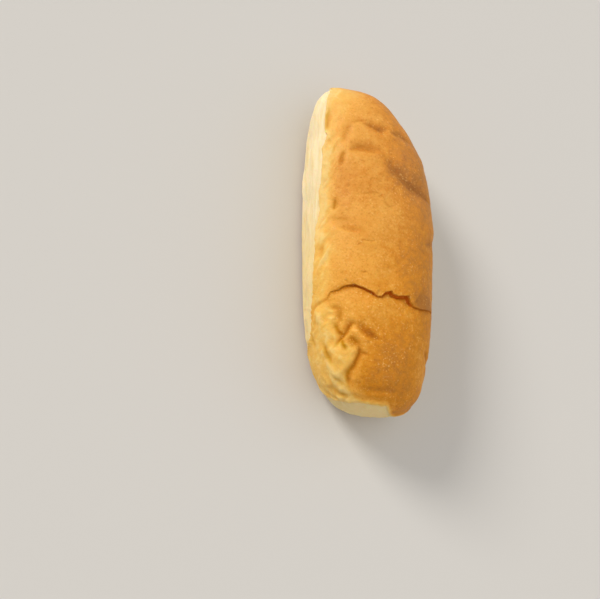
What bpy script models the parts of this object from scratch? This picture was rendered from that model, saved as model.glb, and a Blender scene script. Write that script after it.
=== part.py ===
"""Samoon, a long soft bread roll that lies on its flat baked base.

Metres, +Z up. +Y runs along the roll, and -X is its paler flank.
The origin is on the base, under the middle of the roll.
Places on its skin are given as (degrees, y): degrees round from the crown, below zero towards -X.
"""

import math
import random
from collections import namedtuple

import bmesh
import bpy
import numpy as np
from mathutils import Vector, noise

# Driving dimensions of the smooth roll, before any relief
LENGTH = 0.165
WIDTH = 0.064
HEIGHT = 0.046
WAIST = 0.019  # height at which the roll is widest
UNDERSIDE = 0.028  # how deep the lower half would go if the base weren't flat
BASE_EDGE = 0.0035  # radius that softens the edge of the base
BASE_LIFT = 0.0003  # skin that would rise less than this above the base lies flat in it

# Exponents of the rounded outline: 2 is an ellipse, and more is boxier
CROWN_ROUNDNESS = 2.2
UNDERSIDE_ROUNDNESS = 2.8
NEAR_END_ROUNDNESS = 3.3
FAR_END_ROUNDNESS = 2.2

# The roll is a little wider towards its far end, and both ends bow sideways
FAR_END_FLARE = 0.08
FAR_END_BOW = -0.014
NEAR_END_BOW = 0.005
MIDDLE_BOW = 0.0013  # puts the origin under the middle of the whole width

# Relief starts above the base, so that the base stays flat
RELIEF_FROM = 0.001
RELIEF_FULL = 0.008

# Soft lumps all over: (spacing, height)
LUMPS = ((0.030, 0.0011), (0.013, 0.0005))

# Wrinkles of the baked skin. A depth below zero makes a ridge, and a step lifts the skin on the left
# of its path and sinks it on the right.
Crease = namedtuple("Crease", "depth width step path")
CREASES = (
    # far end
    Crease(0.0007, 0.0018, 0, ((-20, 0.0553), (-27, 0.0535), (-31, 0.0505), (-37, 0.0435))),
    Crease(0.0016, 0.0019, 0, ((-14, 0.0567), (1, 0.0552), (7, 0.0541), (12, 0.0546), (22, 0.0579))),
    Crease(0.0014, 0.0021, 0, ((-34, 0.0396), (-27, 0.0411), (-19, 0.0425), (-4, 0.0423), (9, 0.0408))),
    Crease(0.0014, 0.0017, 0, ((-28, 0.0450), (-32, 0.0420), (-36, 0.0385), (-39, 0.0315))),
    Crease(0.0023, 0.0026, 0,
           ((-3, 0.0410), (6, 0.0373), (19, 0.0288), (31, 0.0251), (50, 0.0225), (72, 0.0210))),
    Crease(0.0009, 0.0019, 0, ((18, 0.0548), (32, 0.0532), (40, 0.0510), (49, 0.0480))),
    # middle
    Crease(0.0010, 0.0015, 0, ((-45, 0.0172), (-48, 0.0100))),
    Crease(0.0006, 0.0024, 0, ((-54, 0.0066), (-40, 0.0056), (-31, 0.0044))),
    Crease(0.0007, 0.0014, -0.0003, ((-48, 0.0026), (-37, 0.0012), (-17, -0.0006))),
    Crease(-0.0006, 0.0014, 0, ((-48, -0.0040), (-54, -0.0107), (-64, -0.0175))),
    # near end, where the skin has crumpled
    Crease(-0.0008, 0.0018, 0, ((-71, -0.0345), (-67, -0.0404), (-63, -0.0450))),
    Crease(0.0008, 0.0016, 0, ((-57, -0.0350), (-45, -0.0371), (-44, -0.0406), (-49, -0.0450))),
    Crease(0.0011, 0.0014, -0.0004,
           ((-62, -0.0570), (-49, -0.0529), (-39, -0.0477), (-33, -0.0438), (-24, -0.0466))),
    Crease(0.0006, 0.0017, -0.0007, ((-34, -0.0439), (-23, -0.0470), (-10, -0.0506), (2, -0.0522))),
    Crease(0.0009, 0.0020, 0, ((-42, -0.0500), (-33, -0.0519), (-24, -0.0545))),
    Crease(0.0011, 0.0015, -0.0007,
           ((-36, -0.0512), (-31, -0.0528), (-28, -0.0572), (-35, -0.0627), (-47, -0.0740))),
    Crease(0.0009, 0.0014, 0, ((-69, -0.0510), (-63, -0.0573), (-57, -0.0650))),
    Crease(-0.0008, 0.0014, 0, ((-74, -0.0510), (-67, -0.0609), (-62, -0.0654), (-50, -0.0680))),
    Crease(0.0008, 0.0024, 0, ((-47, -0.0716), (-14, -0.0735), (4, -0.0728), (26, -0.0696))),
    Crease(0.0008, 0.0014, 0, ((-84, -0.0705), (-69, -0.0738), (-48, -0.0763))),
    # the side away from the pale flank
    Crease(0.0011, 0.0016, 0, ((44, -0.0525), (55, -0.0540), (76, -0.0600))),
    Crease(0.0009, 0.0022, 0, ((76, 0.0050), (56, 0.0010), (38, -0.0020))),
)  # fmt: skip
TAPER = 0.35  # share of a crease over which it fades in at either end
LIP = 0.14  # height of a crease's lips, as a share of its depth

# Soft bulges between the wrinkles
Bulge = namedtuple("Bulge", "turn y reach height")
BULGES = (
    Bulge(-49, -0.0570, 0.0048, 0.0011),
    Bulge(-53, -0.0640, 0.0050, 0.0008),
    Bulge(-67, -0.0395, 0.0045, 0.0008),
    Bulge(-56, -0.0470, 0.0045, 0.0007),
    Bulge(-20, -0.0380, 0.0080, 0.0006),
    Bulge(33, 0.0400, 0.0110, 0.0012),
    Bulge(-15, 0.0200, 0.0140, 0.0006),
)

# Places where the skin is crumpled all over
Crumple = namedtuple("Crumple", "turn y reach spacing height")
CRUMPLES = (
    Crumple(-60, -0.0410, 0.0080, 0.0042, 0.0006),
    Crumple(-62, -0.0560, 0.0110, 0.0050, 0.0007),
    Crumple(-70, -0.0730, 0.0130, 0.0046, 0.0007),
    Crumple(-48, 0.0500, 0.0110, 0.0045, 0.0003),
    Crumple(110, -0.0500, 0.0200, 0.0060, 0.0007),
    Crumple(95, 0.0450, 0.0160, 0.0055, 0.0005),
)

# The split where the skin broke across the roll, as x, y and how far it gapes. Its far lip stands
# over its near one.
SPLIT = (
    (-0.0267, -0.0335, 0.0), (-0.0240, -0.0318, 0.15), (-0.0233, -0.0289, 0.3), (-0.0210, -0.0284, 0.3),
    (-0.0175, -0.0262, 0.3), (-0.0136, -0.0256, 0.6), (-0.0083, -0.0276, 0.8), (-0.0049, -0.0292, 0.9),
    (-0.0030, -0.0308, 0.5), (-0.0013, -0.0306, 0.5), (0.0005, -0.0287, 0.6), (0.0037, -0.0274, 1.0),
    (0.0046, -0.0290, 1.2), (0.0070, -0.0294, 1.3), (0.0127, -0.0286, 1.4), (0.0141, -0.0320, 1.0),
    (0.0153, -0.0332, 0.5), (0.0193, -0.0339, 0.4), (0.0283, -0.0328, 0.3), (0.0330, -0.0325, 0.0),
)  # fmt: skip
SPLIT_RISE = 0.0010  # how far the far lip stands up
SPLIT_DROP = 0.0008  # how far the near lip sinks
SPLIT_REACH = 0.0080  # how far from the split both fade out
SPLIT_GAP = 0.0008  # how much deeper the near lip is at the split itself
SPLIT_GAP_WIDTH = 0.0012
SPLIT_WALL = 0.0005  # how far the step between the lips reaches along the roll

# Where the crust ends: y and degrees on either side, and x and height on the near end
LEFT_EDGE = (
    (-0.0700, -125), (-0.0550, -118), (-0.0515, -108), (-0.0480, -97), (-0.0445, -88), (-0.0354, -81),
    (-0.0264, -75), (-0.0170, -72), (0.0025, -70), (0.0080, -67), (0.0222, -65), (0.0271, -62),
    (0.0372, -58), (0.0540, -60), (0.0717, -57), (0.0797, -68), (0.0820, -90),
)  # fmt: skip
RIGHT_EDGE = ((-0.082, 105), (-0.060, 94), (-0.020, 86), (0.020, 88), (0.050, 92), (0.070, 100), (0.082, 130))
NEAR_EDGE_Y = -0.0785
NEAR_EDGE = ((-0.0200, 0.0120), (-0.0101, 0.0240), (0.0014, 0.0310), (0.0070, 0.0315), (0.0098, 0.0260),
             (0.0125, 0.0190), (0.0250, 0.0150))  # fmt: skip
GIRTH_PER_DEGREE = 0.0005  # length round the roll

# The flanks lie a little inside the crust, and have long folds
SKIN_STEP = 0.0006
SKIN_EDGE_WIDTH = 0.0030
FLANK_FOLD = 0.0006
FLANK_FOLD_SPACING = 0.007
FLANK_FOLD_STRETCH = 6  # the folds are this much longer than they are wide

# Long shallow creases on both flanks, drawn at random between these limits
FLANK_CREASES = 16
FLANK_SEED = 5
FLANK_CREASE_REACH = 0.062  # how far from the middle of the roll they start
FLANK_CREASE_TURN = (92, 118)
FLANK_CREASE_LEAN = 14
FLANK_CREASE_LENGTH = (0.012, 0.022)
FLANK_CREASE_DEPTH = (0.0006, 0.0012)
FLANK_CREASE_WIDTH = (0.0014, 0.0020)
FLANK_CREASE_STEP = 0.0003

# Faces along the block that becomes the roll, how much finer they are towards the near end, the pale
# flank and the crown, and how far its sides lean in at the foot
ACROSS_FACES = 30
ALONG_FACES = 80
UPRIGHT_FACES = 15
FINER_ACROSS = 0.12
FINER_ALONG = 0.08
FINER_UPRIGHT = -0.10
BLOCK_FOOT = 0.6
SPLIT_ROW = -0.42  # the row of faces that starts at the split
SPLIT_PULL = 0.30  # how much of the block to either side bends with the split

HALF_LENGTH = LENGTH / 2
HALF_WIDTH = WIDTH / 2


def clear_scene():
    for old in list(bpy.data.objects):
        bpy.data.objects.remove(old)


def smooth_step(low, high, value):
    share = np.clip((value - low) / (high - low), 0, 1)
    return share * share * (3 - 2 * share)


def column(pairs, at):
    """The value at a place in a list of pairs of place and value."""
    places, values = np.array(pairs).T
    return np.interp(at, places, values)


# ---------------------------------------------------------------- smooth form


def half_width_at(station):
    """Half of the roll's width, before its ends close in, at a station from -1 at the near end to 1."""
    return HALF_WIDTH * (1 + FAR_END_FLARE * station)


def bow_at(station):
    """How far the middle of the roll's width lies from x = 0."""
    far = FAR_END_BOW * np.maximum(station, 0) ** 2
    near = NEAR_END_BOW * np.maximum(-station, 0) ** 2
    return MIDDLE_BOW + far + near


def end_roundness(station):
    return np.where(station > 0, FAR_END_ROUNDNESS, NEAR_END_ROUNDNESS)


def section_roundness(rise):
    return np.where(rise > 0, CROWN_ROUNDNESS, UNDERSIDE_ROUNDNESS)


def place(unit):
    """Turns points of the rounded unit block into points of the smooth roll."""
    side, station, rise = unit.T
    x = bow_at(station) + half_width_at(station) * side
    above = WAIST + (HEIGHT - WAIST) * rise
    below = WAIST + UNDERSIDE * rise
    z = np.where(rise > 0, above, below)
    blended = (z + BASE_EDGE) ** 2 / (4 * BASE_EDGE)
    z = np.where(z > BASE_EDGE, z, np.where(z < -BASE_EDGE, 0.0, blended))
    z = np.where(z < BASE_LIFT, 0.0, z)
    return np.stack([x, HALF_LENGTH * station, z], axis=1)


def block_reach(block):
    """How far out each point of the block lies, as a multiple of the rounded block."""
    side, station, rise = np.abs(block.T)
    section = section_roundness(block[:, 2])
    ends = end_roundness(block[:, 1])
    girth = (side**section + rise**section) ** (1 / section)
    return (girth**ends + station**ends) ** (1 / ends)


def girth_at(station):
    """How full the rounded block is at a station, from 1 in the middle to 0 at its ends."""
    ends = end_roundness(station)
    return np.maximum(1 - np.abs(station) ** ends, 0) ** (1 / ends)


def skin_points(places):
    """Points of the smooth roll at places given as degrees round from the crown, and y."""
    turn, y = np.array(places, float).T
    side, rise = np.sin(np.radians(turn)), np.cos(np.radians(turn))
    station = y / HALF_LENGTH
    section = section_roundness(rise)
    out = girth_at(station) / (np.abs(side) ** section + np.abs(rise) ** section) ** (1 / section)
    return place(np.stack([out * side, station, out * rise], axis=1))


def crown_points(x, y):
    """The points of the smooth roll above places x, y."""
    station = y / HALF_LENGTH
    side = (x - bow_at(station)) / half_width_at(station)
    left = girth_at(station) ** CROWN_ROUNDNESS - np.abs(side) ** CROWN_ROUNDNESS
    rise = np.maximum(left, 0) ** (1 / CROWN_ROUNDNESS)
    return place(np.stack([side, station, rise], axis=1))


def cuts(count, finer):
    """Places from -1 to 1 that cut the block, closer together towards -1 where finer is above zero."""
    even = np.linspace(-1, 1, count + 1)
    return even - finer * (1 - even**2)


def rows_along():
    """The cuts along the block, with two of them close together for the step at the split."""
    rows = cuts(ALONG_FACES, FINER_ALONG)
    rows = np.delete(rows, np.argmin(np.abs(rows - SPLIT_ROW)))
    return np.sort(np.append(rows, [SPLIT_ROW - SPLIT_WALL / HALF_LENGTH, SPLIT_ROW]))


def block_shell(*lines):
    """Points and faces of a cube from -1 to 1, cut at the lines, with an open bottom and a narrow foot."""
    points, faces = [], []
    for axis, sign in ((0, -1), (0, 1), (1, -1), (1, 1), (2, 1)):
        pair = lines[(axis + 1) % 3], lines[(axis + 2) % 3]
        rows, columns = len(pair[0]) - 1, len(pair[1]) - 1
        grid = np.stack(np.meshgrid(*pair, indexing="ij"), axis=-1).reshape(-1, 2)
        corner = np.add.outer(np.arange(rows) * (columns + 1), np.arange(columns)).reshape(-1)
        quads = np.stack([corner, corner + columns + 1, corner + columns + 2, corner + 1], axis=1)
        faces.append(quads[:, ::sign] + sum(map(len, points)))
        points.append(np.roll(np.insert(grid, 0, sign, axis=1), axis, axis=1))
    points, index = np.unique(np.round(np.concatenate(points), 9), axis=0, return_inverse=True)
    points[:, :2] *= 1 - (1 - BLOCK_FOOT) * (1 - points[:, 2:]) / 2
    return points, index.reshape(-1)[np.concatenate(faces)]


def split_y(x):
    split_x, y, _ = np.array(SPLIT).T
    return np.interp(x, split_x, y)


def follow_split(block):
    """Bends the block's rows, so that one of them runs along the split."""
    bent = block.copy()
    row = block[:, 1]
    pull = 1 - smooth_step(0, SPLIT_PULL, np.abs(row - SPLIT_ROW))
    for _ in range(4):
        reach = block_reach(bent)
        x = place(bent / reach[:, None])[:, 0]
        target = reach * split_y(x) / HALF_LENGTH
        bent[:, 1] = row + pull * (target - SPLIT_ROW)
    return bent


def normals_of(points, faces):
    a, b, c, d = (points[faces[:, corner]] for corner in range(4))
    face_normals = np.cross(c - a, d - b)
    normals = np.zeros_like(points)
    for corner in range(4):
        np.add.at(normals, faces[:, corner], face_normals)
    return normals / np.linalg.norm(normals, axis=1)[:, None]


# ---------------------------------------------------------------- relief


def noise_at(points, spacing):
    return np.array([noise.noise(Vector(point)) for point in points / spacing])


def smooth_path(path, pieces=6):
    """A rounder path through the same places."""
    places = np.array([path[0], *path, path[-1]], float)
    share = np.linspace(0, 1, pieces, endpoint=False)[:, None]
    found = []
    for a, b, c, d in zip(places, places[1:], places[2:], places[3:]):
        cubic = share**3 * (3 * b - a - 3 * c + d) + share**2 * (2 * a - 5 * b + 4 * c - d)
        found.append((cubic + share * (c - a) + 2 * b) / 2)
    return np.concatenate([*found, places[-1:]])


def distance_to(path, points, normals):
    """How far points lie from a path, how far along it, from 0 to 1, and 1 on its left or -1."""
    nearest = np.full(len(points), np.inf)
    along = np.zeros(len(points))
    left = np.ones(len(points))
    count = len(path) - 1
    for index in range(count):
        start, leg = path[index], path[index + 1] - path[index]
        share = np.clip((points - start) @ leg / (leg @ leg), 0, 1)
        offset = points - start - share[:, None] * leg
        distance = np.linalg.norm(offset, axis=1)
        closer = distance < nearest
        nearest[closer] = distance[closer]
        along[closer] = (index + share[closer]) / count
        left[closer] = np.sign(np.einsum("ij,ij->i", np.cross(leg, offset[closer]), normals[closer]))
    return nearest, along, left


def crease_relief(crease, points, normals):
    """How far a crease lifts each point with its lips, step or ridge, and how far it carves it."""
    distance, along, left = distance_to(skin_points(smooth_path(crease.path)), points, normals)
    strength = smooth_step(0, TAPER, along) * smooth_step(1, 1 - TAPER, along)
    near = distance / crease.width
    valley = strength * np.exp(-(near**2))
    lips = LIP * max(0, crease.depth) * strength * np.exp(-((near - 2.2) ** 2))
    step = crease.step * strength * left * np.tanh(near) * np.exp(-near / 3)
    ridge = max(0, -crease.depth) * valley
    return lips + step + ridge, max(0, crease.depth) * valley


def bulge_relief(bulge, points):
    distance = np.linalg.norm(points - skin_points([(bulge.turn, bulge.y)]), axis=1)
    return bulge.height * np.exp(-((distance / bulge.reach) ** 2))


def crumple_relief(crumple, points):
    distance = np.linalg.norm(points - skin_points([(crumple.turn, crumple.y)]), axis=1)
    return crumple.height * np.exp(-((distance / crumple.reach) ** 2)) * noise_at(points, crumple.spacing)


def split_relief(points, normals):
    x, y, gapes = np.array(SPLIT).T
    distance, along, _ = distance_to(crown_points(x, y), points, normals)
    gape = np.interp(along * (len(gapes) - 1), np.arange(len(gapes)), gapes)
    far_side = points[:, 1] >= split_y(points[:, 0]) - 1e-6
    fade = smooth_step(0, 0.8, gape) * np.exp(-distance / SPLIT_REACH)
    gap = SPLIT_GAP * gape * np.exp(-((distance / SPLIT_GAP_WIDTH) ** 2))
    return np.where(far_side, SPLIT_RISE * fade, -SPLIT_DROP * fade - gap)


def crust_reach(unit, points):
    """How far inside the crust's edge each point lies, below zero outside."""
    x, y, z = points.T
    turn = np.degrees(np.arctan2(unit[:, 0], unit[:, 2]))
    left = GIRTH_PER_DEGREE * (turn - column(LEFT_EDGE, y))
    right = GIRTH_PER_DEGREE * (column(RIGHT_EDGE, y) - turn)
    near = (y - NEAR_EDGE_Y + z - column(NEAR_EDGE, x)) / math.sqrt(2)
    return np.minimum(np.minimum(left, right), near)


def flank_relief(points, crust):
    """The pale flanks lie a little inside the crust, and have folds along them."""
    flank = 1 - smooth_step(-SKIN_EDGE_WIDTH / 2, SKIN_EDGE_WIDTH / 2, crust)
    folds = 1 - 2 * np.abs(noise_at(points / (1, FLANK_FOLD_STRETCH, 1), FLANK_FOLD_SPACING))
    return flank * (FLANK_FOLD * (folds - 1) - SKIN_STEP)


def flank_creases():
    """Creases where the skin was pulled off the next roll, on one flank and the other in turn."""
    draw = random.Random(FLANK_SEED)
    creases = []
    for index, y in enumerate(np.linspace(-FLANK_CREASE_REACH, FLANK_CREASE_REACH, FLANK_CREASES)):
        side = -1 if index % 2 else 1
        turn = side * draw.uniform(*FLANK_CREASE_TURN)
        lean = side * draw.uniform(-FLANK_CREASE_LEAN, FLANK_CREASE_LEAN)
        length = draw.uniform(*FLANK_CREASE_LENGTH)
        path = (turn, y), (turn + lean / 2, y + length / 2), (turn + lean, y + length)
        depth = draw.uniform(*FLANK_CREASE_DEPTH)
        creases.append(Crease(depth, draw.uniform(*FLANK_CREASE_WIDTH), FLANK_CREASE_STEP, path))
    return creases


def relief(unit, points, normals):
    """How far the skin stands out from the smooth roll at each point."""
    height = flank_relief(points, crust_reach(unit, points)) + split_relief(points, normals)
    height += sum(size * noise_at(points, spacing) for spacing, size in LUMPS)
    height += sum(bulge_relief(bulge, points) for bulge in BULGES)
    height += sum(crumple_relief(crumple, points) for crumple in CRUMPLES)
    carved = np.zeros(len(points))
    for crease in [*CREASES, *flank_creases()]:
        lift, depth = crease_relief(crease, points, normals)
        height += lift
        carved = np.maximum(carved, depth)
    return (height - carved) * smooth_step(RELIEF_FROM, RELIEF_FULL, points[:, 2])


# ---------------------------------------------------------------- the roll


def crust_material():
    material = bpy.data.materials.new("golden_crust")
    material.use_nodes = True
    shader = material.node_tree.nodes["Principled BSDF"]
    shader.inputs["Base Color"].default_value = (0.72, 0.33, 0.09, 1)
    shader.inputs["Roughness"].default_value = 0.55
    shader.inputs["Metallic"].default_value = 0
    return material


def fill_base(mesh):
    """Closes the open bottom with flat faces that meet under the middle of the roll."""
    shell = bmesh.new()
    shell.from_mesh(mesh)
    rim = [edge for edge in shell.edges if edge.is_boundary]
    base = bmesh.ops.holes_fill(shell, edges=rim)["faces"]
    centre = bmesh.ops.poke(shell, faces=base)["verts"][0]
    centre.co = (0, 0, 0)
    shell.to_mesh(mesh)
    shell.free()


def make_roll():
    across = cuts(ACROSS_FACES, FINER_ACROSS)
    upright = cuts(UPRIGHT_FACES, FINER_UPRIGHT)
    block, faces = block_shell(across, rows_along(), upright)
    bent = follow_split(block)
    unit = bent / block_reach(bent)[:, None]
    smooth = place(unit)
    normals = normals_of(smooth, faces)
    points = smooth + normals * relief(unit, smooth, normals)[:, None]
    mesh = bpy.data.meshes.new("samoon_roll")
    mesh.from_pydata(points.tolist(), [], faces.tolist())
    fill_base(mesh)
    mesh.materials.append(crust_material())
    mesh.shade_smooth()
    roll = bpy.data.objects.new("samoon_roll", mesh)
    bpy.context.scene.collection.objects.link(roll)


def main():
    clear_scene()
    make_roll()


main()
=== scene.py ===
"""The looks of a samoon roll: its baked skin, pale flanks, wrinkles, split and base, on a plain pale floor.

The roll lies along Y with its pale flank at -X. Metres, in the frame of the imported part.
Places on its skin are given as (degrees, y): degrees round from the crown, below zero towards -X.
"""

import math
import random
from collections import namedtuple

import bmesh
import bpy
import numpy as np
from mathutils import Matrix, Vector, noise


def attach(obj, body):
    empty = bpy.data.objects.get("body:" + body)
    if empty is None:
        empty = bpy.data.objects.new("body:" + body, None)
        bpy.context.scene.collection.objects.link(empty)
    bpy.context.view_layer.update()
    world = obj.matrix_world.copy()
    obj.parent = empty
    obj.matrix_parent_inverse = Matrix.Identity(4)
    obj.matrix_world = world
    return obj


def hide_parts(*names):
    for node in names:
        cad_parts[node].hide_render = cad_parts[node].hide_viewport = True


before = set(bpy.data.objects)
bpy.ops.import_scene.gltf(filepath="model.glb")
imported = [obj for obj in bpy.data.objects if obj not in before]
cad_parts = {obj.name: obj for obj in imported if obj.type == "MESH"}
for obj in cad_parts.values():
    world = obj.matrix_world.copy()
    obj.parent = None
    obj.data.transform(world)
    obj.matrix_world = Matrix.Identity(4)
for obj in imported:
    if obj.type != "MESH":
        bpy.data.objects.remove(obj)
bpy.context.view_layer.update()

MM = 0.001

# ---------------------------------------------------------------- the smooth roll

LENGTH = 0.165
WIDTH = 0.064
HEIGHT = 0.046
WAIST = 0.019  # height at which the roll is widest
UNDERSIDE = 0.028  # how deep the lower half would go if the base weren't flat
BASE_EDGE = 0.0035  # radius that softens the edge of the base

# Exponents of the rounded outline: 2 is an ellipse, and more is boxier
CROWN_ROUNDNESS = 2.2
UNDERSIDE_ROUNDNESS = 2.8
NEAR_END_ROUNDNESS = 3.3
FAR_END_ROUNDNESS = 2.2

FAR_END_FLARE = 0.08
FAR_END_BOW = -0.014
NEAR_END_BOW = 0.005
MIDDLE_BOW = 0.0013

# The block of faces that becomes the roll
ACROSS_FACES = 126
ALONG_FACES = 300
UPRIGHT_FACES = 56
BLOCK_FOOT = 0.6  # size of its foot, as a share of its top's
BEND_PASSES = 4  # how often the block's rows are bent, each time nearer to the split
SPLIT_ROW = -0.42  # the block's row of faces that starts at the split
SPLIT_FINE_ROWS = 5  # how many rows to either side of it are cut in three
SPLIT_PULL = 0.30  # how much of the block to either side bends with the split

HALF_LENGTH = LENGTH / 2
HALF_WIDTH = WIDTH / 2

# ---------------------------------------------------------------- its relief

RELIEF_FROM = 0.001  # height above the ground where the relief starts
RELIEF_FULL = 0.008
LUMPS = ((0.030, 0.0011), (0.013, 0.0005), (0.006, 0.00020), (0.0026, 0.00008))  # spacing, height
WOBBLE = 0.0005  # how far creases stray from their paths
WOBBLE_SPACING = 0.004
WOBBLE_SHIFTS = ((0, 0, 0), (0.031, 0, 0), (0, 0.017, 0))  # where the noise is read for x, y and z
TAPER = 0.35  # share of a crease over which it fades in at either end
LIP = 0.14  # height of a crease's lips, as a share of its depth
# Measures of a crease in its own widths
CREASE_REACH = 6
CREASE_ROUNDING = 0.4
LIP_PLACE = 2.4
LIP_WIDTH = 0.9
STEP_REACH = 3

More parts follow.
